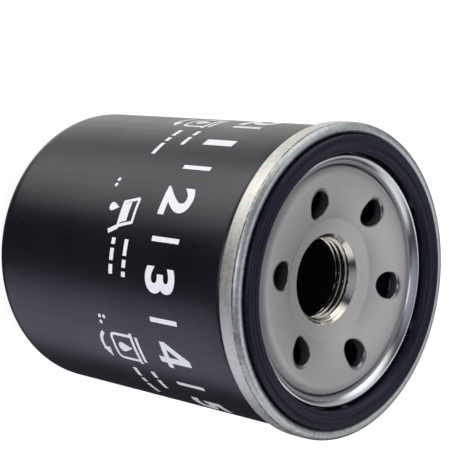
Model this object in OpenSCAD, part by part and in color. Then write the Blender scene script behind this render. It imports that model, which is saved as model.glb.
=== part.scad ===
// Spin-on oil filter, standing on its domed end with the threaded end up.
// The filter's axis is Z, and z = 0 is the flat of the domed end. Millimetres.

/* [Can] */
// Outside diameter of the can
can_d = 70; // [66:0.2:74]
// Height of the can and its seam, without the gasket
seam_top = 87.2; // [80:0.1:95]
// Sheet thickness of the can
can_t = 0.4; // [0.35:0.05:0.6]
// Outside radius of the can's lower corner
corner_r = 6.6; // [5:0.1:9]
// How far the wall is drawn in under the seam
mouth_in = 0.5; // [0.4:0.05:0.6]
// Depth of the dish pressed into the domed end
dish_depth = 1.4; // [0.6:0.1:2]

/* [Lid and seam] */
// Sheet thickness of the lid
lid_t = 0.55; // [0.45:0.05:0.6]
// Height of the rolled seam
seam_h = 5.4; // [4.6:0.1:6]
// Depth from the top of the seam to the underside of the gasket channel
channel_depth = 4.9; // [4.5:0.1:5.5]
// Outside diameter of the ridge that holds the gasket in from the middle
ridge_d = 57.2; // [55:0.1:57.6]
// Depth of the ridge's top below the seam's top
ridge_drop = 1.1; // [0.8:0.1:2]

/* [Gasket] */
// Outside diameter
gasket_od = 66.8; // [65.6:0.1:67]
// Inside diameter, between the lugs
gasket_id = 58.8; // [58.4:0.1:60]
// Height of the sealing face above the seam
gasket_proud = 0.8; // [0.4:0.1:1]
// Number of lugs that grip the ridge
lugs = 6; // [4:1:8]

/* [Base plate] */
// Sheet thickness of the plate
plate_t = 2.7; // [2.5:0.1:3.1]
// Radius of its dished face, in section
dish_face_r = 18; // [16:0.5:22]
// Minor diameter of the M20 x 1.5 thread
thread_minor_d = 18.38; // [18.2:0.01:18.6]
// Outside diameter of the threaded neck
neck_d = 26; // [24:0.5:28]
// Number of inlet holes
inlets = 6; // [5:1:8]
// Radius of the circle that the inlets' inner ends are centred on
inlet_circle_r = 18.6; // [18.4:0.05:18.8]
// Width of an inlet
inlet_d = 6.2; // [5.6:0.1:6.4]
// How much longer an inlet is than it is wide
inlet_stretch = 0.95; // [0:0.05:1.1]
// Turn of the first inlet hole from +X, in degrees
inlet_turn = 32.5; // [0:0.5:60]

/* [Element] */
// Number of pleats in the paper
pleats = 46; // [40:1:48]
// Outside radius of the pleats
pleat_r = 29; // [28:0.1:29.4]
// Inside radius of the pleats
bore_r = 14.6; // [14.4:0.1:15]
// Thickness of the paper
paper_t = 0.6; // [0.5:0.05:0.65]
// Outside diameter of the perforated tube
tube_d = 26; // [25:0.5:27]
// Rows of holes in the tube
tube_rows = 8; // [6:1:9]

/* [Valves] */
// Thickness of the drain valve's rubber
flap_t = 1.1; // [0.9:0.1:1.3]
// Radius of the bypass valve's seat
seat_r = 6.5; // [6:0.1:7]
// Turns of the bypass spring
coils = 5.5; // [4.5:0.5:6.5]
// Wire diameter of the bypass spring
wire_d = 0.9; // [0.8:0.1:1]

/* [Hidden] */

$fn = 96;
fit = 0.04;               // gap left between nested sheets
touch = 0.02;             // gap left between pieces that rest on each other
can_r = can_d / 2;

// Layers of the double seam, from the can's drawn-in wall outwards, as middle radii.
mouth_wall_r = can_r - mouth_in;
cover_hook_mid = mouth_wall_r + fit + lid_t / 2;
body_hook_mid = mouth_wall_r + 2 * fit + lid_t + can_t / 2;
panel_mid = mouth_wall_r + 3 * fit + 1.5 * lid_t + can_t;
chuck_mid = mouth_wall_r - can_t - fit - lid_t / 2;
crown_r = (panel_mid - chuck_mid) / 2;
crown_c = [chuck_mid + crown_r, seam_top - crown_r - lid_t / 2];
curl_r = (panel_mid - cover_hook_mid) / 2;
curl_c = [cover_hook_mid + curl_r, seam_top - seam_h + curl_r + lid_t / 2];

// Lid and gasket.
floor_bottom = seam_top - channel_depth;
floor_mid = floor_bottom + lid_t / 2;
floor_top = floor_bottom + lid_t;
ridge_r = ridge_d / 2;
ridge_leg = ridge_r - lid_t / 2;
ridge_gap = 0.43;         // inside radius of the folded ridge, at its middle
ridge_c = [ridge_leg - ridge_gap, seam_top - ridge_drop - lid_t / 2 - ridge_gap];
gasket_top = seam_top + gasket_proud;

// Base plate, from its flange in to the thread.
flange_r = can_r - can_t - 1.1;
shoulder_r = 2.7;
shoulder_c = [ridge_leg - 2 * ridge_gap - lid_t / 2 - 0.8 - shoulder_r, floor_bottom - touch];
dish_c = shoulder_c - [0, dish_face_r - shoulder_r];
function dish_lean(r, radius) = acos((dish_c[0] - r) / radius); // 90 at the shoulder, less further in
function dish_z(r, depth = 0) =
    dish_c[1] + (dish_face_r - depth) * sin(dish_lean(r, dish_face_r - depth));
step_r = 14.3;            // where the dish ends in a flatter land around the thread
step_drop = 0.15;
land_angle = 17.7;
mouth_r = 10.45;
mouth_z = dish_z(step_r) - step_drop - (step_r - mouth_r) * tan(land_angle);
neck_end = seam_top - 11.8;
thread_r = thread_minor_d / 2;
thread_top = mouth_z - 0.85;
thread_bottom = neck_end + 0.4;
neck_r = neck_d / 2;
plate_under = shoulder_c[1] - plate_t;

// Element, from its upper cap down to its lower cap.
cap_t = 0.35;
cap_r = pleat_r + 1.2;
rim_h = 3.2;
clamp_t = 1.5;            // rubber held between the neck and the upper cap
cap_top = neck_end - clamp_t - 2 * touch;
bond_t = 1.3;
low_cap = 14.8;           // underside of the lower cap
low_cap_top = low_cap + cap_t;
media_bottom = low_cap_top + bond_t + 2 * touch;
media_top = cap_top - cap_t - bond_t - 2 * touch;
tube_r = tube_d / 2;
tube_t = 0.4;
tube_bottom = low_cap_top + touch;
tube_top = cap_top - cap_t - touch;

// Drain valve: the lip rests under the plate, outside the inlets.
hub_top = neck_end + 1.2;
flap_root = [neck_r + 1.9, hub_top - flap_t];
lip_top = plate_under - touch;
flap_split = [23.6, lip_top - 1.7]; // middle of the flap, where the moving lip begins
split_gap = 0.35;
lip_in = 25.4;
lip_out = 28.2;

// Bypass valve: everything sits on the lower cap.
seat_top = low_cap_top + 0.6;
seal_t = 1.1;
seal_bottom = seat_top + touch;
disc_bottom = seal_bottom + seal_t + touch;
disc_t = 0.7;
disc_top = disc_bottom + disc_t;
disc_r = 8.4;
stem_r = 1.5;
cage_t = 0.4;
cage_r = 10.2;            // outside of the cage's wall
cage_h = 13.6;
cage_top = low_cap_top + touch + cage_h;
spring_r = 6.2;           // middle of the wire
spring_bottom = disc_top + wire_d / 2 + touch;
spring_top = cage_top - cage_t - wire_d / 2 - touch;

black = [0.09, 0.09, 0.1];
zinc = [0.74, 0.76, 0.78];
steel = [0.62, 0.61, 0.6];
tinplate = [0.72, 0.72, 0.7];
rubber = [0.12, 0.12, 0.13];

function arc(c, r, from, to, n = 8) =
    [for (i = [0:n]) c + r * [cos(from + (to - from) * i / n), sin(from + (to - from) * i / n)]];

function unit(v) = v / norm(v);
// Direction of a path at point i, as the mean of the steps on either side.
function heading(p, i) =
    let (n = len(p) - 1)
    unit((i > 0 ? unit(p[i] - p[i - 1]) : [0, 0]) + (i < n ? unit(p[i + 1] - p[i]) : [0, 0]));
// How much further a mitred corner lies than the sheet's own half thickness.
function mitre(p, i) =
    i > 0 && i < len(p) - 1 ? 1 / (heading(p, i) * unit(p[i + 1] - p[i])) : 1;
function side(p, d) =
    [for (i = [0:len(p) - 1]) let (h = heading(p, i)) p[i] + d * mitre(p, i) * [-h[1], h[0]]];
// The outline of a sheet of thickness t that follows path p.
function sheet(p, t) =
    let (a = side(p, t / 2), b = side(p, -t / 2))
    concat(a, [for (i = [len(b) - 1:-1:0]) b[i]]);

module turned(path, t) rotate_extrude() polygon(sheet(path, t));
module turned_solid(outline) rotate_extrude() polygon(outline);

module ring(r_out, r_in, z0, z1) {
    translate([0, 0, z0]) difference() {
        cylinder(r = r_out, h = z1 - z0);
        translate([0, 0, -1]) cylinder(r = r_in, h = z1 - z0 + 2);
    }
}

module around(n, turn = 0) for (i = [0:n - 1]) rotate(turn + i * 360 / n) children();

// Drawn cup with a dished end and an outward hook along its mouth.
module can() {
    corner_c = [can_r - corner_r, corner_r];
    dish_mid = dish_depth + can_t / 2;
    dish_r = 15;
    foot_r = 18.6;            // where the dish meets the flat that the filter stands on
    bend_r = 1.6;
    draw_in = [2.6, 0.6];     // where the wall is drawn in, below the seam's curl
    hook_end = 0.15;          // how far the hook's edge stays above the curl's centre
    path = concat(
        [[0, dish_mid], [dish_r, dish_mid]],
        arc([dish_r, dish_mid - bend_r], bend_r, 70, 40, 3),
        arc([foot_r, can_t / 2 + bend_r], bend_r, 220, 270, 4),
        arc(corner_c, corner_r - can_t / 2, -90, 0, 12),
        [[can_r - can_t / 2, curl_c[1] - draw_in[0]], [mouth_wall_r - can_t / 2, curl_c[1] - draw_in[1]]],
        arc(crown_c, body_hook_mid - crown_c[0], 180, 0, 10),
        [[body_hook_mid, curl_c[1] + hook_end]]
    );
    color(black) turned(path, can_t);
}

// Thin ring that closes the can: rolled seam, gasket channel and folded ridge.
module seaming_lid() {
    hook_end = 0.55;          // how far the cover hook's edge stays below the crown's centre
    bend_r = 0.5;
    path = concat(
        [[cover_hook_mid, crown_c[1] - hook_end]],
        arc(curl_c, curl_r, -180, 0, 8),
        arc(crown_c, crown_r, 0, 180, 12),
        arc([chuck_mid - bend_r, floor_mid + bend_r], bend_r, 0, -90, 4),
        arc([ridge_leg + bend_r, floor_mid + bend_r], bend_r, -90, -180, 4),
        arc(ridge_c, ridge_gap, 0, 180, 8),
        [[ridge_c[0] - ridge_gap, floor_bottom + touch]]
    );
    color(zinc) turned(path, lid_t);
}

// Bead of lining compound in the space above the can's wall, inside the seam.
module seam_sealant() {
    color([0.55, 0.2, 0.15])
        ring(cover_hook_mid + lid_t / 2, mouth_wall_r + fit, crown_c[1] - 0.5, crown_c[1] - 0.1);
}

// A short slot punched square to the dished face, and drawn out towards the rim.
module inlet_hole() {
    spare = 2;
    punch_angle = 90 - dish_lean(inlet_circle_r + inlet_stretch / 2, dish_face_r);
    translate([inlet_circle_r, 0, dish_z(inlet_circle_r)]) rotate([0, -punch_angle, 0])
        translate([0, 0, -plate_t - spare]) linear_extrude(plate_t + 2 * spare) hull() {
            circle(d = inlet_d, $fn = 64);
            translate([inlet_stretch, 0]) circle(d = inlet_d, $fn = 64);
        }
}

// Pressed plate: flat flange, rounded shoulder, dished face and threaded neck.
module base_plate() {
    root_r = neck_r + 0.9;    // where the underside turns down into the neck
    bend_r = 1.4;
    bend_x = shoulder_c[0] - 1.34;
    bend_lean = dish_lean(bend_x, dish_face_r - plate_t - bend_r);
    bend_c = [bend_x, dish_z(bend_x, plate_t + bend_r)];
    under_r = dish_face_r - plate_t;
    top = concat(
        [[flange_r, shoulder_c[1] - 0.4], [flange_r - 0.4, shoulder_c[1]]],
        arc(shoulder_c, shoulder_r, 0, 90, 10),
        arc(dish_c, dish_face_r, 92, 180 - dish_lean(step_r + 0.2, dish_face_r), 10),
        [[step_r - 0.15, mouth_z + (step_r - 0.15 - mouth_r) * tan(land_angle)]],
        [[mouth_r + 0.3, mouth_z + 0.2], [mouth_r, mouth_z], [thread_r, thread_top]]
    );
    under = concat(
        [[thread_r, thread_bottom], [thread_r + 0.4, neck_end], [neck_r - 0.6, neck_end]],
        [[neck_r, neck_end + 0.6], [neck_r, dish_z(root_r, plate_t) - 1.3]],
        [[neck_r + 0.25, dish_z(root_r, plate_t) - 0.5]],
        arc(dish_c, under_r, 180 - dish_lean(root_r, under_r), 180 - bend_lean + 1, 8),
        arc(bend_c, bend_r, 180 - bend_lean, 20, 5),
        [[shoulder_c[0] + 0.73, plate_under + 0.5], [shoulder_c[0] + 1.33, plate_under]],
        [[flange_r, plate_under]]
    );
    color(steel) difference() {
        turned_solid(concat(top, under));
        around(inlets, inlet_turn) inlet_hole();
    }
}

// Square-cut ring with two sealing lands and a groove between them.
module gasket() {
    out = gasket_od / 2;
    in = gasket_id / 2;
    bottom = floor_top + touch;
    outline = [
        [in, bottom + 0.3], [in + 0.3, bottom], [out - 0.3, bottom], [out, bottom + 0.3],
        [out, gasket_top - 0.7], [out - 0.5, gasket_top], [out - 1.2, gasket_top],
        [out - 1.6, gasket_top - 0.35], [in + 1.95, gasket_top - 0.35],
        [in + 1.5, gasket_top], [in + 0.6, gasket_top], [in, gasket_top - 0.8]
    ];
    lug_reach = in - ridge_r - fit;
    color(rubber) {
        turned_solid(outline);
        around(lugs, 15) translate([ridge_r + fit, -0.8, bottom + 1])
            cube([lug_reach + 0.6, 1.6, 2]);
    }
}

// Clamped half of the rubber check valve: hub around the neck and the flap's inner part.
module drain_valve_diaphragm() {
    bottom = cap_top + touch;
    edge = flap_split - [split_gap / 2, 0];
    outline = [
        [10.6, bottom], [flap_root[0] + 0.6, bottom], [flap_root[0] + 0.6, bottom + 1],
        [flap_root[0], flap_root[1] - 0.6], [flap_root[0] + 0.6, flap_root[1]],
        [edge[0], edge[1] - flap_t / 2], [edge[0], edge[1] + flap_t / 2],
        [flap_root[0] - 0.2, hub_top], [neck_r + fit, hub_top],
        [neck_r + fit, neck_end + 0.5], [neck_r - 0.6, neck_end - touch], [10.6, neck_end - touch]
    ];
    color(rubber) turned_solid(outline);
}

// Free edge of the check valve, which seals under the base plate's flange.
module drain_valve_lip() {
    edge = flap_split + [split_gap / 2, 0];
    outline = [
        [edge[0], edge[1] - flap_t / 2], [lip_out - 0.4, lip_top - 1.3], [lip_out, lip_top - 0.9],
        [lip_out, lip_top - 0.3], [lip_out - 0.3, lip_top], [lip_in, lip_top],
        [edge[0], edge[1] + flap_t / 2]
    ];
    color(rubber) turned_solid(outline);
}

// Cap over an end of the element. dir is 1 for a rim that turns up, -1 for one that turns down.
module end_cap(z_mid, dir, inner) {
    rim_mid = cap_r - cap_t / 2;
    path = concat(inner,
        arc([rim_mid - 0.6, z_mid + dir * 0.6], 0.6, -dir * 90, 0, 4),
        [[rim_mid, z_mid + dir * (rim_h - cap_t / 2)]]);
    color(tinplate) turned(path, cap_t);
}

module top_end_cap() end_cap(cap_top - cap_t / 2, -1, [[10.6, cap_top - cap_t / 2]]);

// The lower cap's middle turns up into the bypass valve's seat.
module bottom_end_cap() {
    mid = low_cap + cap_t / 2;
    end_cap(mid, 1, concat(
        [[seat_r, mid + 0.15]],
        arc([seat_r + 0.55, seat_top - cap_t / 2 - 0.4], 0.4, 160, 20, 5),
        [[seat_r + 1.4, mid + 0.1], [seat_r + 1.9, mid]]));
}

module bond(z0) color([0.75, 0.6, 0.3]) ring(cap_r - cap_t - 0.4, tube_r + fit, z0, z0 + bond_t);
module top_bond() bond(media_top + touch);
module bottom_bond() bond(low_cap_top + touch);

function polar(r, a) = r * [cos(a), sin(a)];
// One face of the folded paper, as four corners a pleat. tip and root are half angles.
function fold(r_out, tip, r_in, root) =
    let (pitch = 360 / pleats)
    [for (i = [0:pleats - 1], k = [0:3])
        k == 0 ? polar(r_out, i * pitch - tip) :
        k == 1 ? polar(r_out, i * pitch + tip) :
        k == 2 ? polar(r_in, (i + 0.5) * pitch - root) : polar(r_in, (i + 0.5) * pitch + root)];

// Pleated paper, folded from one strip around the tube.
module filter_media() {
    tip = 2;
    root = 0.6;
    tip_wall = paper_t / pleat_r * 180 / PI;
    root_wall = paper_t / bore_r * 180 / PI;
    color([0.85, 0.72, 0.45]) translate([0, 0, media_bottom])
        linear_extrude(media_top - media_bottom) difference() {
            polygon(fold(pleat_r, tip, bore_r + paper_t, root));
            polygon(fold(pleat_r - paper_t, tip - tip_wall, bore_r, root + root_wall));
        }
}

// Steel channel crimped over the pleat where the strip's two ends meet.
module media_clip() {
    half = pleat_r * sin(2) + 0.06;
    clip_t = 0.3;
    inset = 0.5;
    color(tinplate) translate([0, 0, media_bottom + inset])
        linear_extrude(media_top - media_bottom - 2 * inset) difference() {
            translate([pleat_r - 6, -half - clip_t]) square([6 + 0.1 + clip_t, 2 * (half + clip_t)]);
            translate([pleat_r - 7, -half]) square([7 + 0.08, 2 * half]);
        }
}

// Steel tube that holds the element open, with staggered rows of holes.
module centre_tube() {
    columns = 5;
    plain_end = 18;           // left unpunched at each end
    pitch = (tube_top - tube_bottom - 2 * plain_end) / (tube_rows - 1);
    color(tinplate) difference() {
        ring(tube_r, tube_r - tube_t, tube_bottom, tube_top);
        for (row = [0:tube_rows - 1])
            around(columns, row * 180 / columns)
                translate([0, 0, tube_bottom + plain_end + row * pitch]) rotate([0, 90, 0])
                    cylinder(r = 1.9, h = tube_r + 1, $fn = 32);
    }
}

// Stamped cup that guides the bypass valve's stem, with windows for the oil.
module bypass_cage() {
    bottom = low_cap_top + touch;
    flange_mid = bottom + cage_t / 2;
    wall_mid_r = cage_r - cage_t / 2;
    top_mid = cage_top - cage_t / 2;
    path = concat(
        [[tube_r - tube_t - 0.2, flange_mid]],
        arc([wall_mid_r + 0.5, flange_mid + 0.5], 0.5, -90, -180, 4),
        arc([wall_mid_r - 0.8, top_mid - 0.8], 0.8, 0, 90, 5),
        [[stem_r + 0.1, top_mid]]
    );
    color(tinplate) difference() {
        turned(path, cage_t);
        around(4) translate([cage_r - 3, -3.5, bottom + 2.4]) cube([6, 7, 7]);
        around(4, 45) translate([spring_r - 1.2, 0, cage_top - 2]) cylinder(r = 1.3, h = 4, $fn = 32);
    }
}

// Points of the coil: the pitch closes up at both ends.
function coil_z(s) =
    let (e = 0.16, k = s < e ? s * s / (2 * e) : s > 1 - e ? 1 - e - (1 - s) * (1 - s) / (2 * e) : s - e / 2)
    spring_bottom + (spring_top - spring_bottom) * k / (1 - e);

module bypass_spring() {
    sides = 8;
    rings = coils * 20;
    pts = [for (i = [0:rings], k = [0:sides - 1])
        let (a = i / rings * coils * 360, b = k * 360 / sides, r = spring_r + wire_d / 2 * cos(b))
        [r * cos(a), r * sin(a), coil_z(i / rings) + wire_d / 2 * sin(b)]];
    faces = concat(
        [[for (k = [0:sides - 1]) k]],
        [for (i = [0:rings - 1], k = [0:sides - 1]) let (n = (k + 1) % sides)
            [i * sides + k, (i + 1) * sides + k, (i + 1) * sides + n]],
        [for (i = [0:rings - 1], k = [0:sides - 1]) let (n = (k + 1) % sides)
            [i * sides + k, (i + 1) * sides + n, i * sides + n]],
        [[for (k = [sides - 1:-1:0]) rings * sides + k]]);
    color(steel) polyhedron(pts, faces);
}

module bypass_disc() {
    outline = [
        [stem_r + fit, disc_bottom], [disc_r - 0.5, disc_bottom], [disc_r, disc_bottom + 0.5],
        [disc_r, disc_top - 0.2], [disc_r - 0.2, disc_top], [stem_r + fit, disc_top]
    ];
    color(tinplate) turned_solid(outline);
}

module bypass_seal() color(rubber) ring(disc_r - 0.4, stem_r + fit, seal_bottom, seal_bottom + seal_t);

// Rivet through the seal and disc, which slides in the top of the cage.
module bypass_stem() {
    head_bottom = seal_bottom - 0.5 - touch;
    outline = [
        [0, head_bottom], [2.4, head_bottom], [2.9, seal_bottom - touch], [stem_r, seal_bottom - touch],
        [stem_r, disc_top + touch], [stem_r + 0.8, disc_top + touch], [stem_r + 0.8, disc_top + 0.6],
        [stem_r, disc_top + 0.9], [stem_r, cage_top + 0.9], [stem_r - 0.4, cage_top + 1.3], [0, cage_top + 1.3]
    ];
    color(steel) turned_solid(outline);
}

// Sprung star that presses the element up against the neck.
module support_spring() {
    leaf_t = 0.6;
    leaf_w = 9;
    top = low_cap - touch;
    ring_mid = top - leaf_t / 2;
    foot_mid = can_t + touch + leaf_t / 2;
    foot_x = 25;
    leg = concat(
        [[12, ring_mid], [16, ring_mid]],
        [for (i = [1:9]) let (s = i / 10)
            [16 + (foot_x - 16) * s, ring_mid - (ring_mid - foot_mid) * (1 - cos(180 * s)) / 2]],
        [[foot_x, foot_mid], [foot_x + 1.2, foot_mid], [foot_x + 2.4, foot_mid + 0.7]]
    );
    color(steel) {
        ring(17, 10.5, top - leaf_t, top);
        around(4, 45) rotate([90, 0, 0])
            linear_extrude(leaf_w, center = true) polygon(sheet(leg, leaf_t));
    }
}

can();
seaming_lid();
seam_sealant();
base_plate();
gasket();
drain_valve_diaphragm();
drain_valve_lip();
top_end_cap();
top_bond();
filter_media();
media_clip();
centre_tube();
bottom_bond();
bottom_end_cap();
bypass_cage();
bypass_spring();
bypass_disc();
bypass_seal();
bypass_stem();
support_spring();
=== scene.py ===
"""Looks of the spin-on oil filter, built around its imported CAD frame.

The filter stands on its domed end with its axis on Z. Profiles are in millimetres and become
metres when a mesh is made.
"""

import math

import bmesh
import bpy
from mathutils import Matrix, Vector


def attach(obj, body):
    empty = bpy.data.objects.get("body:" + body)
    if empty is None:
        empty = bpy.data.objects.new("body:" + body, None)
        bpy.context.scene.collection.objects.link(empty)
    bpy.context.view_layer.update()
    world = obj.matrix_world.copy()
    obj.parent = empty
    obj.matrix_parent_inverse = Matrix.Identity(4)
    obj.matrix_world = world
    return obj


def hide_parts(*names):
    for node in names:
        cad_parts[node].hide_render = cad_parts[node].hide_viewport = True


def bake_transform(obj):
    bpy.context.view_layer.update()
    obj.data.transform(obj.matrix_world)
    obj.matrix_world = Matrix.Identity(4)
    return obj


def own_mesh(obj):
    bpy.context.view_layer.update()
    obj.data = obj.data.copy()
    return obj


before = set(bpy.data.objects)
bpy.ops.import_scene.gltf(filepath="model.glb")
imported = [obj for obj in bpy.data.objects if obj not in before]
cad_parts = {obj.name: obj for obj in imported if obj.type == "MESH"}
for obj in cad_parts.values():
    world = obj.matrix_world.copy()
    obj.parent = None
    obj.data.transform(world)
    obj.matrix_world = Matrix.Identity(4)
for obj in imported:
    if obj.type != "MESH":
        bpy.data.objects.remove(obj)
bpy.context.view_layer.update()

MM = 0.001
TAU = 2 * math.pi

# Sizes that several functions share, in mm as in the CAD. A name that ends in _C is an arc's
# centre in section, and one that ends in _R a radius.
CAN_R, CAN_T, MOUTH_R = 35.0, 0.4, 34.5
LID_T = 0.55
# Middle lines of the seam's layers, from the innermost hook to the outer panel, and the chuck wall.
COVER_HOOK, BODY_HOOK, PANEL, CHUCK = 34.815, 35.33, 35.845, 33.785
CROWN_C, CROWN_R = (34.815, 85.895), 1.03
CURL_C, CURL_R = (35.33, 82.59), 0.515
# The lid's channel floor and the ridge inside it.
FLOOR_MID, RIDGE_C, RIDGE_R = 82.575, (28.3, 85.1), 0.35
# The base plate: sheet, rounded shoulder, dished face, step and land around the mouth.
PLATE_T, SHOULDER_C, SHOULDER_R = 2.7, (23.69, 82.28), 2.7
DISH_C, DISH_R = (23.69, 66.98), 18.0
STEP_R, STEP_DROP, LAND_DEG = 14.3, 0.15, 17.7
INLETS, INLET_TURN, INLET_CIRCLE_R, INLET_R, INLET_STRETCH = 6, 32.5, 18.6, 3.1, 0.95
THREAD_MINOR, THREAD_MAJOR, THREAD_PITCH = 9.19, 10.0, 1.5
# Height of the line that the seaming roll leaves around the seam.
ROLL_LINE = CROWN_C[1] + 0.06


# ---------------------------------------------------------------- profiles


def arc(centre, radius, start, end, steps=8):
    """Points along an arc in a profile. Its angles are in degrees."""
    found = []
    for i in range(steps + 1):
        a = math.radians(start + (end - start) * i / steps)
        found.append((centre[0] + radius * math.cos(a), centre[1] + radius * math.sin(a)))
    return found


def sheet(path, thickness):
    """The closed outline of a sheet that follows a path, with mitred corners."""
    points = [Vector(p) for p in path]
    steps = [(b - a).normalized() for a, b in zip(points, points[1:])]
    sides = [[], []]
    for i, p in enumerate(points):
        before, after = steps[max(i - 1, 0)], steps[min(i, len(steps) - 1)]
        along = (before + after).normalized()
        out = Vector((-along.y, along.x)) * thickness / 2 / along.dot(after)
        sides[0].append(tuple(p + out))
        sides[1].append(tuple(p - out))
    return sides[0] + sides[1][::-1]


def anticlockwise(outline):
    """The outline, turned round if it runs clockwise."""
    area = sum(a[0] * b[1] - b[0] * a[1] for a, b in zip(outline, outline[1:] + outline[:1]))
    return outline if area > 0 else outline[::-1]


def smoother(x):
    """A smooth step from 0 at x = 0 to 1 at x = 1."""
    x = min(max(x, 0.0), 1.0)
    return x * x * (3 - 2 * x)


# ---------------------------------------------------------------- meshes


def mesh_object(name, bm, materials, sharp=32):
    """An object from a bmesh, smooth except at edges sharper than an angle in degrees."""
    mesh = bpy.data.meshes.new(name)
    bm.to_mesh(mesh)
    bm.free()
    for material in materials:
        mesh.materials.append(material)
    mesh.shade_smooth()
    if sharp:
        mesh.set_sharp_from_angle(angle=math.radians(sharp))
    piece = bpy.data.objects.new(name, mesh)
    bpy.context.scene.collection.objects.link(piece)
    return piece


def lathe(name, outline, materials, segments=256, sharp=32, shape=None, slot_of=None):
    """A closed outline turned around Z. shape(r, z, angle) may move a point;
    slot_of(r, z) picks a face's material."""
    outline = anticlockwise(outline)
    bm = bmesh.new()
    rows = []
    for r, z in outline:
        if r < 1e-6:
            rows.append([bm.verts.new((0, 0, z * MM))] * segments)
            continue
        row = []
        for j in range(segments):
            a = TAU * j / segments
            rr, zz = shape(r, z, a) if shape else (r, z)
            row.append(bm.verts.new((rr * math.cos(a) * MM, rr * math.sin(a) * MM, zz * MM)))
        rows.append(row)
    for i, low in enumerate(rows):
        high = rows[(i + 1) % len(rows)]
        for j in range(segments):
            k = (j + 1) % segments
            corners = [low[j], low[k], high[k], high[j]]
            unique = list(dict.fromkeys(corners))
            if len(unique) < 3:
                continue
            face = bm.faces.new(unique)
            if slot_of:
                (r0, z0), (r1, z1) = outline[i], outline[(i + 1) % len(outline)]
                face.material_index = slot_of((r0 + r1) / 2, (z0 + z1) / 2)
    return mesh_object(name, bm, materials, sharp)


def applied(piece, modifier_kind, **settings):
    """Adds a modifier and makes its result the piece's mesh."""
    modifier = piece.modifiers.new(modifier_kind.lower(), modifier_kind)
    for key, value in settings.items():
        setattr(modifier, key, value)
    graph = bpy.context.evaluated_depsgraph_get()
    graph.update()
    mesh = bpy.data.meshes.new_from_object(piece.evaluated_get(graph))
    piece.modifiers.clear()
    piece.data = mesh
    return piece


def finished(piece, body, slot, *nodes):
    """Rides a piece on its body, and lets it stand for CAD nodes."""
    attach(piece, body)
    if nodes:
        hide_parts(*nodes)
    return piece


# ---------------------------------------------------------------- materials


class Shade:
    """A material's node tree, with short calls for the nodes used here."""

    def __init__(self, name, **fixed):
        self.material = bpy.data.materials.new(name)
        self.material.use_nodes = True
        self.tree = self.material.node_tree
        self.skin = self.tree.nodes["Principled BSDF"]
        for key, value in fixed.items():
            self.skin.inputs[key.replace("_", " ")].default_value = value
        self.place = self.add("ShaderNodeTexCoord").outputs["Object"]

    def add(self, kind, inputs=None, **settings):
        """A new node with its properties set, and its inputs linked or given constants."""
        node = self.tree.nodes.new(kind)
        for key, value in settings.items():
            setattr(node, key, value)
        for key, value in (inputs or {}).items():
            self.set(node.inputs[key], value)
        return node

    def set(self, socket, value):
        """Links a socket, or gives it a constant."""
        if isinstance(value, bpy.types.NodeSocket):
            self.tree.links.new(value, socket)
        else:
            socket.default_value = value

    def maths(self, operation, a, b=0.0):
        return self.add("ShaderNodeMath", {0: a, 1: b}, operation=operation).outputs[0]

    def plus(self, a, b):
        return self.maths("ADD", a, b)

    def times(self, a, b):
        return self.maths("MULTIPLY", a, b)

    def noise(self, scale, detail=3.0, roughness=0.55, vector=None, w=None):
        inputs = {"Vector": vector or self.place, "Scale": scale, "Detail": detail,
                  "Roughness": roughness}
        if w is None:
            return self.add("ShaderNodeTexNoise", inputs).outputs["Fac"]
        inputs["W"] = w
        return self.add("ShaderNodeTexNoise", inputs, noise_dimensions="4D").outputs["Fac"]

    def ramp(self, value, low, high, to_low=0.0, to_high=1.0):
        """A smooth step of value between low and high."""
        inputs = {"Value": value, "From Min": low, "From Max": high,
                  "To Min": to_low, "To Max": to_high}
        node = self.add("ShaderNodeMapRange", inputs, interpolation_type="SMOOTHSTEP")
        return node.outputs["Result"]

    def blend(self, share, a, b):
        """Colour a, turning to colour b as share goes from 0 to 1."""
        inputs = {"Factor": share, 6: (*a, 1) if isinstance(a, tuple) else a,
                  7: (*b, 1) if isinstance(b, tuple) else b}
        return self.add("ShaderNodeMix", inputs, data_type="RGBA").outputs[2]

    def radius(self):
        """Distance from the Z axis."""
        x, y, _ = self.add("ShaderNodeSeparateXYZ", {0: self.place}).outputs
        flat = self.add("ShaderNodeCombineXYZ", {0: x, 1: y}).outputs[0]
        return self.add("ShaderNodeVectorMath", {0: flat}, operation="LENGTH").outputs["Value"]

    def polar(self, around, across, up):
        """Coordinates for marks that run around Z: a unit circle, the radius and the height,
        each with its own scale. Returns the vector and W of a 4D noise."""
        x, y, z = self.add("ShaderNodeSeparateXYZ", {0: self.place}).outputs
        r = self.radius()
        safe = self.maths("MAXIMUM", r, 1e-5)
        ux = self.times(self.maths("DIVIDE", x, safe), around)
        uy = self.times(self.maths("DIVIDE", y, safe), around)
        rr = self.times(r, across)
        return self.add("ShaderNodeCombineXYZ", {0: ux, 1: uy, 2: rr}).outputs[0], self.times(z, up)

    def marks(self, around, across, up, detail=2.0):
        """Noise stretched around Z, as rolling and turning marks are."""
        vector, w = self.polar(around, across, up)
        return self.noise(1.0, detail, 0.5, vector, w)

    def bump(self, height, distance, strength, under=None):
        """The normal of a bump, on top of another bump's if one is given."""
        inputs = {"Height": height, "Distance": distance, "Strength": strength}
        if under is not None:
            inputs["Normal"] = under
        return self.add("ShaderNodeBump", inputs).outputs[0]

    def finish(self, colour, roughness, normal=None):
        """Links the skin's inputs and returns the material."""
        self.set(self.skin.inputs["Base Color"], colour)
        self.set(self.skin.inputs["Roughness"], roughness)
        if normal is not None:
            self.set(self.skin.inputs["Normal"], normal)
        return self.material


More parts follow.
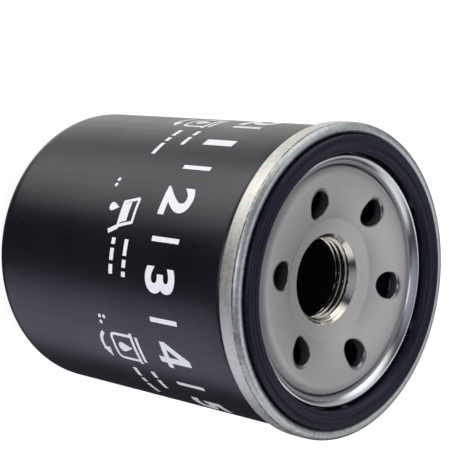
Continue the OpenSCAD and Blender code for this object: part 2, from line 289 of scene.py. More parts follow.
def painted_steel():
    """Black baked enamel on a drawn can: fine orange peel, faint draw lines and dust."""
    s = Shade("can_black_enamel", Specular_IOR_Level=0.5, Coat_Weight=0.25, Coat_Roughness=0.22,
              Specular_Tint=(0.93, 0.92, 1.0, 1))
    broad = s.noise(38, 4, 0.65)
    drawn = s.marks(60, 0, 12)
    grain = s.noise(5200, 2)
    dust = s.ramp(s.noise(1500, 1, 0.4), 0.80, 0.83)
    colour = s.blend(broad, (0.0038, 0.0036, 0.0068), (0.0062, 0.0060, 0.0098))
    colour = s.blend(dust, colour, (0.10, 0.10, 0.10))
    rough = s.plus(s.ramp(broad, 0.3, 0.7, 0.27, 0.36), s.ramp(drawn, 0.35, 0.65, -0.02, 0.02))
    normal = s.bump(s.noise(760, 2), 0.00003, 0.35)
    normal = s.bump(grain, 0.000004, 0.5, normal)
    return s.finish(colour, rough, normal)


def print_ink():
    """Screen-printed white ink, a little bluish, with pinholes."""
    s = Shade("print_white_ink", Specular_IOR_Level=0.4)
    cloudy = s.noise(420, 4)
    pin = s.ramp(s.noise(3600, 2), 0.70, 0.76)
    colour = s.blend(cloudy, (0.84, 0.85, 0.89), (0.92, 0.93, 0.96))
    colour = s.blend(pin, colour, (0.44, 0.44, 0.48))
    rough = s.ramp(cloudy, 0.3, 0.7, 0.42, 0.52)
    return s.finish(colour, rough, s.bump(s.noise(2600, 2), 0.000006, 0.5))


def zinc_plate():
    """Zinc-coated sheet: soft mottling, roller streaks along the seam, painted shade in its groove,
    and painted reflection tones on its crown and wall.
    Heights and radii are in metres."""
    s = Shade("lid_zinc_coat", Metallic=0.92)
    mottle = s.noise(1100, 4, 0.65)
    warm = s.noise(150, 3, 0.6)
    elsewhere = s.add("ShaderNodeVectorMath", {0: s.place, 1: (0.3, 0.1, 0.2)}).outputs[0]
    cold = s.noise(110, 2, 0.5, elsewhere)
    streak = s.marks(120, 60, 70, 3)
    scuff = s.marks(14, 900, 900, 4)
    rolled = s.marks(5, 1500, 1500, 2)
    _, _, z = s.add("ShaderNodeSeparateXYZ", {0: s.place}).outputs
    outside = s.ramp(s.radius(), 0.0355, 0.0359)
    colour = s.blend(s.ramp(mottle, 0.36, 0.64), (0.44, 0.46, 0.47), (0.86, 0.87, 0.86))
    colour = s.blend(s.ramp(warm, 0.50, 0.66, 0, 0.7), colour, (0.76, 0.75, 0.67))
    colour = s.blend(s.ramp(cold, 0.50, 0.66, 0, 0.6), colour, (0.55, 0.58, 0.66))
    colour = s.blend(s.ramp(scuff, 0.53, 0.68, 0, 0.6), colour, (0.33, 0.34, 0.37))
    streaks = s.times(s.ramp(streak, 0.52, 0.70, 0, 0.3), outside)
    colour = s.blend(streaks, colour, (0.45, 0.46, 0.47))
    # Painted reflection: the crown, which faces up, is tinted a colder grey, and the wall below it
    # a brighter, warmer grey.
    crown = s.times(s.ramp(z, 0.08600, 0.08670), s.ramp(s.radius(), 0.0330, 0.0334))
    colour = s.blend(s.times(crown, 0.6), colour, (0.54, 0.60, 0.61))
    # Painted highlight on the wall; the same mask also makes the wall a little rougher.
    wall = s.times(s.ramp(z, 0.08560, 0.08600, 1, 0), outside)
    colour = s.blend(s.times(wall, 0.6), colour, (0.93, 0.92, 0.81))
    # The line that the roll leaves below the crown, broken up along its length: bumped in as a
    # dent, with painted shade that darkens it to near black.
    off = s.maths("ABSOLUTE", s.maths("SUBTRACT", z, ROLL_LINE * MM))
    broken = s.ramp(s.marks(22, 0, 700, 5), 0.36, 0.60, 0.15, 1)
    line = s.times(s.times(s.ramp(off, 0.00006, 0.00030, 1, 0), broken), outside)
    colour = s.blend(s.times(line, 0.85), colour, (0.05, 0.05, 0.08))
    # Dull smears on the crown's outer edge.
    smear = s.times(s.ramp(s.marks(26, 300, 1500, 4), 0.66, 0.76), s.ramp(z, 0.08640, 0.08690))
    colour = s.blend(s.times(smear, 0.7), colour, (0.13, 0.13, 0.14))
    rough = s.plus(s.ramp(mottle, 0.3, 0.7, 0.34, 0.44), s.ramp(rolled, 0.35, 0.65, -0.03, 0.03))
    rough = s.plus(rough, s.times(wall, 0.08))
    normal = s.bump(s.noise(420, 3), 0.00004, 0.45)
    normal = s.bump(mottle, 0.000012, 0.5, normal)
    normal = s.bump(rolled, 0.000004, 0.3, normal)
    normal = s.bump(line, 0.00006, 0.6, normal)
    return s.finish(colour, rough, normal)


def burnished_zinc():
    """The folded ridge, polished by the press: smooth, with faint marks running around it."""
    s = Shade("ridge_zinc_burnished", Metallic=1.0)
    cloud = s.noise(160, 3)
    rolled = s.marks(4, 1800, 1800, 2)
    colour = s.blend(cloud, (0.66, 0.70, 0.76), (0.80, 0.81, 0.80))
    rough = s.plus(s.ramp(cloud, 0.3, 0.7, 0.17, 0.23), s.ramp(rolled, 0.35, 0.65, -0.02, 0.02))
    return s.finish(colour, rough, s.bump(rolled, 0.000002, 0.3))


def pressed_steel(name, dark, light, low, high, turned, metallic=1.0, grainy=1.0):
    """Bare pressed steel with a fine grain, between two colours and two roughnesses. turned is
    how strongly marks run around Z, and grainy how strongly the grain shows as bumps."""
    s = Shade(name, Metallic=metallic)
    grain = s.noise(2300, 3, 0.6)
    cloud = s.noise(95, 3)
    rings = s.marks(5, 3400, 3400, 2)
    stain = s.ramp(s.noise(240, 4, 0.65), 0.60, 0.72)
    colour = s.blend(cloud, dark, light)
    darkest, lightest = tuple(v * 0.72 for v in dark), tuple(min(v * 1.25, 1) for v in light)
    colour = s.blend(s.ramp(grain, 0.35, 0.7, 0, 0.22), colour, darkest)
    colour = s.blend(s.times(stain, 0.16), colour, lightest)
    ringed = 0.04 * turned
    rough = s.plus(s.ramp(grain, 0.3, 0.7, low, high), s.ramp(rings, 0.3, 0.7, -ringed, ringed))
    normal = s.bump(grain, 0.000012, 0.45 * grainy)
    normal = s.bump(rings, 0.000010 * turned + 1e-7, 0.5, normal)
    return s.finish(colour, rough, normal)


def rubber(name, gloss, specks):
    """Moulded black rubber with a dull bluish bloom."""
    s = Shade(name, Specular_IOR_Level=gloss, Specular_Tint=(0.74, 0.77, 1.0, 1))
    bloom = s.noise(150, 4, 0.6)
    grain = s.noise(4200, 2)
    colour = s.blend(s.ramp(bloom, 0.35, 0.75), (0.0030, 0.0028, 0.0090), (0.0060, 0.0056, 0.0165))
    if specks:
        dust = s.ramp(s.noise(1250, 1, 0.4), 0.81, 0.84)
        colour = s.blend(dust, colour, (0.35, 0.35, 0.36))
    rough = s.ramp(bloom, 0.3, 0.7, 0.38, 0.46)
    normal = s.bump(grain, 0.000006, 0.5)
    normal = s.bump(s.noise(900, 2), 0.00002, 0.25, normal)
    return s.finish(colour, rough, normal)


def adhesive():
    """Amber epoxy that holds the paper in its end caps."""
    s = Shade("element_adhesive", Specular_IOR_Level=0.5)
    blot = s.noise(320, 3)
    return s.finish(s.blend(blot, (0.42, 0.25, 0.07), (0.62, 0.42, 0.14)),
                    s.ramp(blot, 0.3, 0.7, 0.25, 0.40), s.bump(blot, 0.0001, 0.4))


def sealing_compound():
    """Red lining compound of the can's seam."""
    s = Shade("seam_compound", Specular_IOR_Level=0.4)
    blot = s.noise(700, 3)
    return s.finish(s.blend(blot, (0.26, 0.08, 0.05), (0.36, 0.13, 0.08)),
                    s.ramp(blot, 0.3, 0.7, 0.5, 0.65), s.bump(blot, 0.00004, 0.4))


def filter_paper():
    """Resin-treated paper: long fibres, cloudy resin and a fine crepe."""
    s = Shade("filter_paper", Specular_IOR_Level=0.25, Sheen_Weight=0.15)
    resin = s.noise(70, 3)
    fibre = s.noise(1900, 5, 0.7)
    colour = s.blend(resin, (0.20, 0.115, 0.045), (0.30, 0.18, 0.08))
    colour = s.blend(s.ramp(fibre, 0.55, 0.72, 0, 0.5), colour, (0.40, 0.27, 0.14))
    return s.finish(colour, s.ramp(fibre, 0.3, 0.7, 0.75, 0.9), s.bump(fibre, 0.00003, 0.6))


ENAMEL = painted_steel()
INK = print_ink()
ZINC = zinc_plate()
RIDGE = burnished_zinc()
PLATE = pressed_steel("base_plate_steel_face", (0.53, 0.517, 0.517), (0.61, 0.592, 0.587),
                      0.42, 0.50, 0.6, metallic=0.55, grainy=0.5)
PUNCHED = pressed_steel("punched_edge_steel", (0.30, 0.29, 0.31), (0.40, 0.39, 0.41),
                        0.20, 0.27, 0.05, metallic=0.9, grainy=0.15)
THREAD = pressed_steel("cut_thread_steel", (0.74, 0.71, 0.63), (0.84, 0.81, 0.73),
                       0.12, 0.17, 0.1, grainy=0.1)
RUBBER = rubber("gasket_rubber_black", 0.5, specks=True)
VALVE_RUBBER = rubber("valve_rubber_black", 0.2, specks=False)
TIN = pressed_steel("tinned_cap_steel", (0.50, 0.50, 0.48), (0.64, 0.64, 0.61), 0.28, 0.40, 0.8)
TUBE = pressed_steel("tube_dark_steel", (0.16, 0.16, 0.16), (0.24, 0.24, 0.23), 0.40, 0.52, 0.6)
SPRING = pressed_steel("spring_steel_blue", (0.30, 0.31, 0.34), (0.42, 0.43, 0.46), 0.26, 0.36, 0.3)
ADHESIVE = adhesive()
COMPOUND = sealing_compound()
PAPER = filter_paper()

for node, material in {
    "seam_sealant": COMPOUND, "top_end_cap": TIN, "top_bond": ADHESIVE, "filter_media": PAPER,
    "media_clip": TIN, "centre_tube": TUBE, "bottom_bond": ADHESIVE, "bottom_end_cap": TIN,
    "bypass_cage": TUBE, "bypass_disc": TUBE, "bypass_seal": VALVE_RUBBER, "bypass_stem": SPRING,
    "support_spring": SPRING,
}.items():
    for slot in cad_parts[node].material_slots:
        slot.material = material


# ---------------------------------------------------------------- can


def can():
    """Drawn cup with a dished end, drawn in under the seam and hooked inside it."""
    half = CAN_T / 2
    dish, corner = 1.6, 6.6
    path = [(0, dish), (8, dish), (14.2, dish)]
    path += arc((14.6, 0.2), 1.4, 88, 42, 6)[1:]
    path += arc((18.6, half + dish), dish, 222, 270, 8)
    path += [(22, half), (25.5, half)]
    path += arc((CAN_R - corner, corner), corner - half, -90, 0, 24)
    path += [(CAN_R - half, z) for z in (12, 20, 30, 40, 50, 60, 70, 76)]
    # The wall draws in by half a millimetre just below the seam.
    path += [(CAN_R - half - (CAN_R - MOUTH_R) * smoother(t / 8), CURL_C[1] - 2.6 + 2.0 * t / 8)
             for t in range(9)]
    path += arc(CROWN_C, BODY_HOOK - CROWN_C[0], 180, 0, 16)
    path += [(BODY_HOOK, CURL_C[1] + 0.15)]
    return finished(lathe("can_shell", sheet(path, CAN_T), [ENAMEL]), "root", "can_paint", "can")


def seaming_lid():
    """Zinc-coated ring: rolled seam, gasket channel and folded ridge."""
    path = [(COVER_HOOK, CROWN_C[1] - 0.55)]
    path += arc(CURL_C, CURL_R, -180, 0, 16)
    # A shallow groove runs around the wall just below the crown.
    path += [(PANEL, 83.6), (PANEL, 84.8), (PANEL, ROLL_LINE - 0.30)]
    path += [(PANEL - 0.06 * math.sin(math.pi * t / 6), ROLL_LINE - 0.24 + 0.08 * t)
             for t in range(1, 6)]
    path += arc(CROWN_C, CROWN_R, 20, 180, 28)
    path += [(CHUCK, 85.0), (CHUCK, 84.0)]
    bend = 0.5
    path += arc((CHUCK - bend, FLOOR_MID + bend), bend, 0, -90, 8)
    path += arc((RIDGE_C[0] + RIDGE_R + bend, FLOOR_MID + bend), bend, -90, -180, 8)
    # The ridge folds over, and from its crest its inner side curves down to the plate's shoulder.
    crest, foot, wide = 122, 172, 3.0
    path += arc(RIDGE_C, RIDGE_R, 0, crest, 16)
    inner_c = (RIDGE_C[0] + (RIDGE_R - wide) * math.cos(math.radians(crest)),
               RIDGE_C[1] + (RIDGE_R - wide) * math.sin(math.radians(crest)))
    path += arc(inner_c, wide, crest, foot, 20)[1:]
    burnished_r = 29.0
    piece = lathe("lid_ring", sheet(path, LID_T), [ZINC, RIDGE], 320,
                  slot_of=lambda r, z: 1 if r < burnished_r else 0)
    return finished(piece, "root", "lid_zinc", "seaming_lid")


def gasket():
    """Moulded ring with two rounded sealing lands, and six lugs that grip the ridge."""
    inner, outer, bottom, top = 29.4, 33.4, 82.87, 88.0
    inner_land, outer_land, valley = 30.45, 32.75, 0.42
    corner = 0.35
    outline = arc((outer - corner, bottom + corner), corner, -90, 0, 5)
    outline += [(outer, 84.2), (outer, 85.4)]
    outline += [(outer_land + 0.65 * math.cos(a), top - 0.75 + 0.75 * math.sin(a))
                for a in (math.radians(90 * i / 10) for i in range(11))]
    width = outer_land - inner_land
    outline += [(outer_land - width * i / 18, top - valley * (1 - math.cos(TAU * i / 18)) / 2)
                for i in range(1, 18)]
    outline += [(inner_land + 1.05 * math.cos(a), top - 1.0 + 1.0 * math.sin(a))
                for a in (math.radians(90 + 90 * i / 12) for i in range(13))]
    outline += [(inner, z) for z in (86.3, 86.0, 85.7, 85.4, 85.1, 84.6, 84.2, 83.9, 83.6)]
    outline += arc((inner + corner, bottom + corner), corner, 180, 270, 5)
    lug_low, lug_high, lug_deep, lug_turn, lug_pitch = 83.6, 86.0, 0.45, 15, 60

    def lugs(r, z, angle):
        if r > inner + 0.01 or not lug_low + 0.05 < z < lug_high - 0.05:
            return r, z
        off = (math.degrees(angle) - lug_turn + lug_pitch / 2) % lug_pitch - lug_pitch / 2
        wide = smoother((2.6 - abs(off)) / 1.1)
        tall = smoother((z - lug_low) / 0.5) * smoother((lug_high - z) / 0.5)
        return r - lug_deep * wide * tall, z

    piece = lathe("gasket_ring", outline, [RUBBER], 384, 50, lugs)
    return finished(piece, "root", "gasket_rubber", "gasket")


def thread_radius(angle, z):
    """Radius of a right-hand 60 degree inside thread: a narrow root, two flanks and a crest."""
    root_half, flank_height = 0.10, 0.46
    phase = (z / THREAD_PITCH - angle / TAU) % 1.0
    off = abs(phase - 0.5) * THREAD_PITCH
    share = (off - root_half) / flank_height
    return THREAD_MAJOR - (THREAD_MAJOR - THREAD_MINOR) * min(max(share, 0), 1)


def dish_z(r, depth=0.0):
    """Height of the plate's dished face, or of a surface at a depth under it."""
    return DISH_C[1] + math.sqrt((DISH_R - depth) ** 2 - (DISH_C[0] - r) ** 2)


def dish_lean(r, depth=0.0):
    """Angle of the dish's radius at r, in degrees from +X in section."""
    return 180 - math.degrees(math.acos((DISH_C[0] - r) / (DISH_R - depth)))


def base_plate():
    """Pressed plate with a dished face, six punched inlets and a threaded neck."""
    flange, mouth = 33.5, 10.45
    land = math.tan(math.radians(LAND_DEG))
    mouth_z = dish_z(STEP_R) - STEP_DROP - (STEP_R - mouth) * land
    neck_end, neck_r = 75.4, 13.0
    flange_z = SHOULDER_C[1]
    under_z = flange_z - PLATE_T
    top = [(flange, flange_z - 0.4), (flange - 0.12, flange_z - 0.12), (flange - 0.4, flange_z)]
    top += [(r, flange_z) for r in (31, 29, 27.4)]
    top += arc((SHOULDER_C[0] + 0.3 + SHOULDER_R, flange_z + 0.3), 0.3, -90, -180, 4)
    top += arc(SHOULDER_C, SHOULDER_R, 8, 90, 24)
    step_out, step_wide = STEP_R + 0.7, 1.5
    top += arc(DISH_C, DISH_R, 91, dish_lean(step_out), 30)
    # The dish ends in a soft step, and a flatter land runs on to the mouth.
    for i in range(1, 11):
        r = step_out - step_wide * i / 10
        share = smoother((i - 2) / 8)
        top.append((r, (1 - share) * dish_z(r) + share * (mouth_z + (r - mouth) * land)))
    top += [(r, mouth_z + (r - mouth) * land) for r in (13.0, 12.4, 11.8)]
    top += [(mouth + 0.9, mouth_z + 0.9 * land), (mouth + 0.62, mouth_z + 0.62 * land + 0.06),
            (mouth + 0.4, mouth_z + 0.2), (mouth + 0.18, mouth_z + 0.17),
            (mouth + 0.03, mouth_z + 0.05)]
    rows, mouth_slope, end_chamfer = 104, 0.76, 0.45
    bore_top, bore_low = mouth_z - 0.1, neck_end + 0.02

    def plain(z):
        """Radius of the bore without its thread: a chamfer at each end of the minor diameter."""
        return max(THREAD_MINOR, mouth - (mouth_z - z) * mouth_slope,
                   THREAD_MINOR + end_chamfer - (z - neck_end))

    bore = [bore_top - (bore_top - bore_low) * i / rows for i in range(rows + 1)]
    top += [(plain(z), z) for z in bore]
    root = neck_r + 0.9
    under_root = dish_z(root, PLATE_T)
    low = [(neck_r - 0.6, neck_end), (neck_r - 0.2, neck_end + 0.18), (neck_r, neck_end + 0.6)]
    low += [(neck_r, under_root - 1.3), (neck_r + 0.25, under_root - 0.5)]
    bend_r, bend_x = 1.4, SHOULDER_C[0] - 1.34
    bend_lean = dish_lean(bend_x, PLATE_T + bend_r)
    low += arc(DISH_C, DISH_R - PLATE_T, dish_lean(root, PLATE_T), bend_lean + 1, 16)
    low += arc((bend_x, dish_z(bend_x, PLATE_T + bend_r)), bend_r, bend_lean, 20, 10)
    low += [(SHOULDER_C[0] + 0.73, under_z + 0.5), (SHOULDER_C[0] + 1.33, under_z), (28, under_z),
            (31, under_z), (flange - 0.3, under_z), (flange, under_z + 0.3)]

    def cut(r, z, angle):
        """Moves the bore's points out to the thread where it is deeper than the chamfers."""
        if r < mouth and bore_low - 0.001 <= z <= bore_top + 0.001:
            return max(r, thread_radius(angle, z)), z
        return r, z

    piece = lathe("threaded_plate", top + low, [PLATE, PUNCHED, THREAD], 240, 34, cut,
                  lambda r, z: 2 if r < mouth + 0.02 and z < mouth_z else 0)
    cutter = hole_cutters()
    applied(piece, "BOOLEAN", operation="DIFFERENCE", object=cutter, solver="EXACT",
            material_mode="TRANSFER")
    bpy.data.objects.remove(cutter)
    applied(piece, "WEIGHTED_NORMAL", keep_sharp=True, weight=60)
    return finished(piece, "root", "base_plate_steel", "base_plate")


def inlet(grow, steps=36):
    """Outline of an inlet, grown by some mm: two half circles and the short flanks between them."""
    flank = [INLET_STRETCH * t / 3 for t in (1, 2)]
    outline = arc((INLET_STRETCH, 0), INLET_R + grow, -90, 90, steps)
    outline += [(INLET_STRETCH - x, INLET_R + grow) for x in flank]
    outline += arc((0, 0), INLET_R + grow, 90, 270, steps)
    return outline + [(x, -INLET_R - grow) for x in flank]


def hole_cutters():
    """Six punches square to the dished face. Each leaves a rolled edge that follows the dish and
    is widest at the inlet's outer end."""
    edge, outer_edge = 0.3, 0.9
    lean = dish_lean(INLET_CIRCLE_R + INLET_STRETCH / 2) - 90
    tilt = (Matrix.Translation((INLET_CIRCLE_R, 0, dish_z(INLET_CIRCLE_R)))
            @ Matrix.Rotation(-math.radians(lean), 4, "Y"))

    def on_dish(x, y, lift):
        """A point of the punch, lifted from where its stroke meets the dished face."""
        along = 0.0
        for _ in range(6):
            p = tilt @ Vector((x, y, along))
            along += dish_z(math.hypot(p.x, p.y)) - p.z
        return tilt @ Vector((x, y, along + lift))

    def levels(roll):
        """Growth and lift of each ring of a punch, from below the plate to above its face."""
        found = [(edge - roll, -5.0), (edge - roll, -2.2)]
        for a in (math.radians(90 * i / 8) for i in range(9)):
            found.append((edge - roll * math.cos(a), -roll + roll * math.sin(a)))
        return found + [(edge + 0.25, 1.4)]

    # Each point of the outline has its own roll, and moves straight out from the outline.
    columns = []
    middle = INLET_STRETCH / 2
    for (x, y), (far_x, far_y) in zip(inlet(0), inlet(1)):
        roll = edge + outer_edge * smoother((x - middle) / (middle + INLET_R))
        columns.append([on_dish(x + (far_x - x) * grow, y + (far_y - y) * grow, lift)
                        for grow, lift in levels(roll)])
    bm = bmesh.new()
    for i in range(INLETS):
        turn = Matrix.Rotation(math.radians(INLET_TURN + i * 360 / INLETS), 4, "Z")
        rings = [[bm.verts.new((turn @ p) * MM) for p in ring] for ring in zip(*columns)]
        for low, high in zip(rings, rings[1:]):
            for k in range(len(low)):
                n = (k + 1) % len(low)
                bm.faces.new((low[k], low[n], high[n], high[k]))
        bm.faces.new(rings[0][::-1])
        bm.faces.new(rings[-1])
    return mesh_object("punches", bm, [PUNCHED], 0)


def drain_valve():
    """One rubber diaphragm: its hub is clamped and its thin flap carries the sealing lip."""
    # Underside of the hub and of the flap, the lip's rounded edge and ribbed top, and back.
    outline = [(10.6, 73.90), (15.2, 73.90), (15.5, 74.2), (15.5, 74.6), (15.1, 75.0)]
    outline += [(15.0, 75.25), (15.5, 75.5), (17, 75.75), (19, 76.05), (21, 76.55), (22.6, 77.0)]
    outline += [(24.0, 77.4), (25.6, 77.75), (26.9, 78.05), (27.6, 78.2)]
    outline += arc((27.75, 78.65), 0.42, -70, 30, 6)
    outline += [(28.1, 79.1), (28.1, 79.4), (27.9, 79.55), (27.4, 79.56), (26.6, 79.50)]
    outline += [(25.9, 79.56), (25.3, 79.5), (24.6, 79.0), (23.6, 78.35), (22.0, 77.8)]
    outline += [(20.0, 77.3), (18.0, 76.9), (16.2, 76.65), (15.2, 76.6), (13.3, 76.6)]
    outline += [(13.05, 76.4), (13.05, 75.9), (12.4, 75.38), (10.6, 75.38)]
    piece = lathe("drain_valve_rubber", outline, [VALVE_RUBBER], 192, 40)
    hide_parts("drain_valve_diaphragm", "drain_valve_lip")
    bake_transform(piece)
    return piece


def bypass_spring():
    """Cold-wound wire whose end coils close up."""
    turns, wire, coil, low, high = 5.5, 0.45, 6.2, 18.06, 27.90
    steps, sides, closing = 264, 14, 0.16
    bm = bmesh.new()
    rings = []
    for i in range(steps + 1):
        s = i / steps
        if s < closing:
            climbed = s * s / (2 * closing)
        elif s > 1 - closing:
            climbed = 1 - closing - (1 - s) ** 2 / (2 * closing)
        else:
            climbed = s - closing / 2
        a = s * turns * TAU
        z = low + (high - low) * climbed / (1 - closing)
        rings.append([bm.verts.new((MM * (coil + wire * math.cos(b)) * math.cos(a),
                                    MM * (coil + wire * math.cos(b)) * math.sin(a),
                                    MM * (z + wire * math.sin(b))))
                      for b in (TAU * k / sides for k in range(sides))])
    for one, two in zip(rings, rings[1:]):
        for k in range(sides):
            n = (k + 1) % sides
            bm.faces.new((one[k], two[k], two[n], one[n]))
    bm.faces.new(rings[0])
    bm.faces.new(rings[-1][::-1])
    bmesh.ops.recalc_face_normals(bm, faces=bm.faces)
    piece = mesh_object("valve_spring_wire", bm, [SPRING], 40)
    finished(piece, "root", "spring_steel", "bypass_spring")
    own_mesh(piece)
    return piece


# ---------------------------------------------------------------- print

INK_T = 0.03
NUMERAL_H, NUMERAL_BASE, SYMBOL_BASE = 9.1, 58.3, 38.0
NUMERALS, FIRST_NUMERAL, FIRST_SYMBOL, SYMBOL_PITCH = 12, -140, -171, 54.5
# Widths of the ink's lines: numeral bars, outlines, double lines, the arrow, a spout and captions.
BAR_W, LINE_W, RIM_W, ARROW_W, SPOUT_W, CAPTION_W = 1.15, 0.75, 0.9, 1.0, 1.1, 1.25


def wrapped(name, flat, azimuth, base):
    """Flat ink shapes in mm, cut fine, wrapped around the can and given a thickness.
    x runs around the can from azimuth, in degrees, and y runs up from base."""
    xs = [v.co.x for v in flat.verts]
    facet = 0.7
    cut = math.floor(min(xs) / facet) * facet + facet
    while cut < max(xs):
        bmesh.ops.bisect_plane(flat, geom=flat.verts[:] + flat.edges[:] + flat.faces[:],
                               plane_co=(cut, 0, 0), plane_no=(1, 0, 0), dist=1e-5)
        cut += facet
    radius = CAN_R + 0.004      # just clear of the paint
    for v in flat.verts:
        a = math.radians(azimuth) + v.co.x / CAN_R
        v.co = Vector((radius * math.cos(a), radius * math.sin(a), base + v.co.y)) * MM
    piece = mesh_object(name, flat, [INK], 30)
    return applied(piece, "SOLIDIFY", thickness=INK_T * MM, offset=1.0, use_even_offset=False)


def glyph(text, height):
    """A bold numeral from the built-in font as flat faces in mm, centred on x = 0."""
    digit_share, bolder, wider = 0.729, 0.045, 1.14
    curve = bpy.data.curves.new("glyph", "FONT")
    curve.body = text
    curve.size = height / digit_share
    curve.align_x = "CENTER"
    curve.offset = height * bolder
    curve.resolution_u = 6
    holder = bpy.data.objects.new("glyph", curve)
    bpy.context.scene.collection.objects.link(holder)
    graph = bpy.context.evaluated_depsgraph_get()
    mesh = bpy.data.meshes.new_from_object(holder.evaluated_get(graph))
    bm = bmesh.new()
    bm.from_mesh(mesh)
    bmesh.ops.remove_doubles(bm, verts=bm.verts, dist=1e-4)
    bmesh.ops.scale(bm, vec=(wider, 1, 1), verts=bm.verts)
    bpy.data.objects.remove(holder)
    return bm


def four(height):
    """The numeral 4 from patches, because the font's own loses its counter when it is made bold.
    Sizes are shares of the height."""
    low, high, left, right, inner, knee = 0.16, 0.33, -0.42, 0.38, -0.21, 0.70
    near, far, foot, top = 0.045, 0.225, -0.045, 1.045
    bm = bmesh.new()
    for shape in ([(near, foot), (far, foot), (far, top), (near, top)],
                  [(left, low), (near, low), (near, high), (left, high)],
                  [(far, low), (right, low), (right, high), (far, high)],
                  [(left, high), (inner, high), (near, knee), (near, top)]):
        patch(bm, [(x * height, y * height) for x, y in shape])
    return bm


def stroke(bm, path, width):
    """A line of ink along a path."""
    outline = sheet(path, width)
    count = len(path)
    left = [bm.verts.new((x, y, 0)) for x, y in outline[:count]]
    right = [bm.verts.new((x, y, 0)) for x, y in outline[count:][::-1]]
    for i in range(count - 1):
        bm.faces.new((left[i], right[i], right[i + 1], left[i + 1]))


def patch(bm, outline):
    """A face of ink that faces outward."""
    bm.faces.new([bm.verts.new((x, y, 0)) for x, y in anticlockwise(list(outline))])


def numerals():
    """A scale of twelve turn marks under the seam, as on a dial."""
    pieces = []
    pitch = 360 / NUMERALS
    for number in range(1, NUMERALS + 1):
        azimuth = FIRST_NUMERAL + pitch * (number - 1)
        numeral = four(NUMERAL_H) if number == 4 else glyph(str(number), NUMERAL_H)
        pieces.append(wrapped("turn_mark", numeral, azimuth, NUMERAL_BASE))
        bar = bmesh.new()
        stroke(bar, [(0, 0.2), (0, NUMERAL_H - 0.2)], BAR_W)
        pieces.append(wrapped("turn_mark", bar, azimuth + pitch / 2, NUMERAL_BASE))
    return joined("turn_numerals", pieces)


def filter_symbol(bm, x):
    """A filter in outline, with a drop in it and a turning arrow below it."""
    stroke(bm, [(x - 3.6, 13.6), (x + 3.6, 13.6)], RIM_W)
    stroke(bm, [(x - 4.4, 11.9), (x + 4.4, 11.9)], RIM_W)
    side = [(x - 3.5, 11.6), (x - 3.5, 6.4)] + arc((x - 2.3, 6.0), 1.2, 180, 270, 5)
    side += arc((x + 2.3, 6.0), 1.2, 270, 360, 5) + [(x + 3.5, 6.4), (x + 3.5, 11.6)]
    stroke(bm, side, LINE_W)
    patch(bm, [(x, 10.9)] + arc((x, 7.6), 1.35, 35, -215, 14))
    sweep = arc((x, 4.6), 4.1, 215, 300, 10)
    stroke(bm, sweep, ARROW_W)
    tip_x, tip_y = sweep[-1]
    patch(bm, [(tip_x - 0.6, tip_y - 1.3), (tip_x + 1.9, tip_y + 0.9), (tip_x - 1.1, tip_y + 1.4)])


def oil_symbol(bm, x):
    """A tilted can, part full, with its spout and a drop."""
    tilted = [(x - 3.2, 12.6), (x + 2.6, 12.6), (x + 3.8, 8.2), (x - 2.0, 8.2), (x - 3.2, 12.6)]
    stroke(bm, tilted, LINE_W)
    patch(bm, [(x - 2.2, 10.6), (x + 2.4, 10.6), (x + 3.0, 8.6), (x - 1.6, 8.6)])
    stroke(bm, [(x + 3.9, 8.4), (x + 5.3, 5.4)], SPOUT_W)
    patch(bm, [(x - 0.6, 6.9)] + arc((x - 0.6, 4.6), 1.05, 35, -215, 14))


def caption(bm, x, rows):
    """Plain bars in rows beside a symbol."""
    gap = 0.9
    for base, lengths in rows:
        at = x
        for length in lengths:
            stroke(bm, [(at, base), (at + length, base)], CAPTION_W)
            at += length + gap


def symbols():
    """Six groups of fitting symbols: counting dots, a symbol and bars."""
    pieces = []
    symbol_x, caption_x, dot_pitch, dot_r = 7.6, 14.2, 1.5, 0.5
    round_dot = [(dot_r * math.cos(TAU * k / 14), dot_r * math.sin(TAU * k / 14))
                 for k in range(14)]
    for i in range(6):
        bm = bmesh.new()
        for dot in range(i + 1):
            x, y = dot % 2 * dot_pitch, dot // 2 * dot_pitch + 2.6
            patch(bm, [(x + dx, y + dy) for dx, dy in round_dot])
        if i % 2:
            oil_symbol(bm, symbol_x)
            caption(bm, caption_x, [(8.0, (1.5, 2.8, 2.2)), (12.4, (3.8, 1.8, 1.2))])
        else:
            filter_symbol(bm, symbol_x)
            caption(bm, caption_x, [(7.4, (3.0, 1.6, 4.2)), (13.6, (2.2, 3.4))])
        pieces.append(wrapped("fitting_mark", bm, FIRST_SYMBOL + SYMBOL_PITCH * i, SYMBOL_BASE))
    return joined("fitting_symbols", pieces)


def joined(name, pieces):
    """One piece of print from several."""
    bm = bmesh.new()
    for piece in pieces:
        bm.from_mesh(piece.data)
        bpy.data.objects.remove(piece)
    return finished(mesh_object(name, bm, [INK], 30), "root", "print_ink")


# ---------------------------------------------------------------- stage


WARM, PLAIN, COOL = (1.02, 1.0, 0.98), (1.0, 1.0, 1.0), (0.95, 0.95, 1.16)
AMBIENT = (0.038, 0.038, 0.048)
# Soft panels: azimuth and elevation, inner and outer half angle (degrees), strength and tint.
PANELS = [
    (90, 70, 10, 40, 0.45, PLAIN),
    (90, 4, 4, 24, 0.4, PLAIN),
    (49, 44, 10, 34, 0.68, PLAIN),
    (137, 42, 10, 34, 0.51, PLAIN),
    (0, 12, 10, 40, 0.85, PLAIN),
    (180, 15, 10, 40, 1.2, PLAIN),
    (-90, 46, 10, 40, 0.30, COOL),
    (-90, 3, 5, 26, 1.8, PLAIN),
    (-142, -35, 5, 30, 1.6, WARM),
    (168, -25, 25, 58, 0.34, WARM),
    (126, -45, 18, 40, 0.5, WARM),
    (-20, -41, 10, 33, 0.75, COOL),
]


def floor():
    """A pale floor that keeps out of the filter's reflections."""
    bpy.ops.mesh.primitive_circle_add(vertices=96, radius=1.2, fill_type="NGON")
    ground = bpy.context.object
    ground.name = "studio_floor"
    s = Shade("floor_pale", Specular_IOR_Level=0.1, Emission_Color=(1, 1, 1, 1),
              Emission_Strength=0.82)
    ground.data.materials.append(s.finish((0.5, 0.5, 0.5, 1), 0.8))
    ground.visible_glossy = False
    ground.visible_diffuse = False


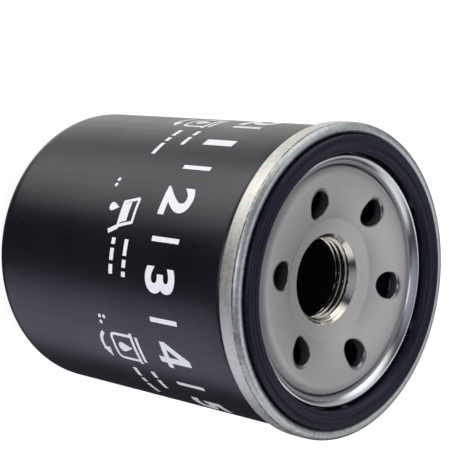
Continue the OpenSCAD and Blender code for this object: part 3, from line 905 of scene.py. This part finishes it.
def studio():
    """Soft light from all around: each panel is a direction, a spread, a strength and a tint."""
    world = bpy.data.worlds.new("studio")
    bpy.context.scene.world = world
    world.use_nodes = True
    nodes, links = world.node_tree.nodes, world.node_tree.links
    direction = nodes.new("ShaderNodeTexCoord").outputs["Generated"]

    def vector_maths(operation, a, b):
        node = nodes.new("ShaderNodeVectorMath")
        node.operation = operation
        second = node.inputs["Scale"] if operation == "SCALE" else node.inputs[1]
        for socket, value in ((node.inputs[0], a), (second, b)):
            if isinstance(value, bpy.types.NodeSocket):
                links.new(value, socket)
            else:
                socket.default_value = value
        return node.outputs["Value" if operation == "DOT_PRODUCT" else "Vector"]

    total = AMBIENT
    for azimuth, elevation, inner, outer, strength, tint in PANELS:
        a, e = math.radians(azimuth), math.radians(elevation)
        towards = (math.cos(e) * math.cos(a), math.cos(e) * math.sin(a), math.sin(e))
        fade = nodes.new("ShaderNodeMapRange")
        fade.interpolation_type = "SMOOTHSTEP"
        links.new(vector_maths("DOT_PRODUCT", direction, towards), fade.inputs["Value"])
        fade.inputs["From Min"].default_value = math.cos(math.radians(outer))
        fade.inputs["From Max"].default_value = math.cos(math.radians(inner))
        fade.inputs["To Max"].default_value = strength
        total = vector_maths("ADD", vector_maths("SCALE", tint, fade.outputs["Result"]), total)
    links.new(total, nodes["Background"].inputs["Color"])
    # A front light that fills matt surfaces such as the print, and isn't mirrored in glossy ones.
    fill = bpy.data.lights.new("front_fill", "SUN")
    fill.energy, fill.angle = 1.6, math.radians(40)
    holder = bpy.data.objects.new("front_fill", fill)
    holder.rotation_euler = Vector((-0.1, -0.95, 0.3)).to_track_quat("Z", "Y").to_euler()
    holder.visible_glossy = False
    bpy.context.scene.collection.objects.link(holder)
    bpy.context.scene.view_settings.view_transform = "Standard"


def camera():
    """A long lens, looking down at the threaded end from the side."""
    eye = bpy.data.cameras.new("camera")
    eye.sensor_width = 36
    eye.lens = 110.44
    eye.clip_start, eye.clip_end = 0.01, 10
    holder = bpy.data.objects.new("camera", eye)
    # The filter's axis lies across the picture, so the camera is turned on its side.
    right = Vector((-0.1531, 0.6871, 0.7102)).normalized()
    forward = Vector((-0.0276, 0.7154, -0.6981))
    forward = (forward - right * forward.dot(right)).normalized()
    up = right.cross(forward)
    turn = Matrix((right, up, -forward)).transposed().to_4x4()
    holder.matrix_world = Matrix.Translation((0.00004, -0.24309, 0.28339)) @ turn
    bpy.context.scene.collection.objects.link(holder)
    bpy.context.scene.camera = holder


can()
seaming_lid()
gasket()
base_plate()
drain_valve()
bypass_spring()
numerals()
symbols()
floor()
studio()
camera()
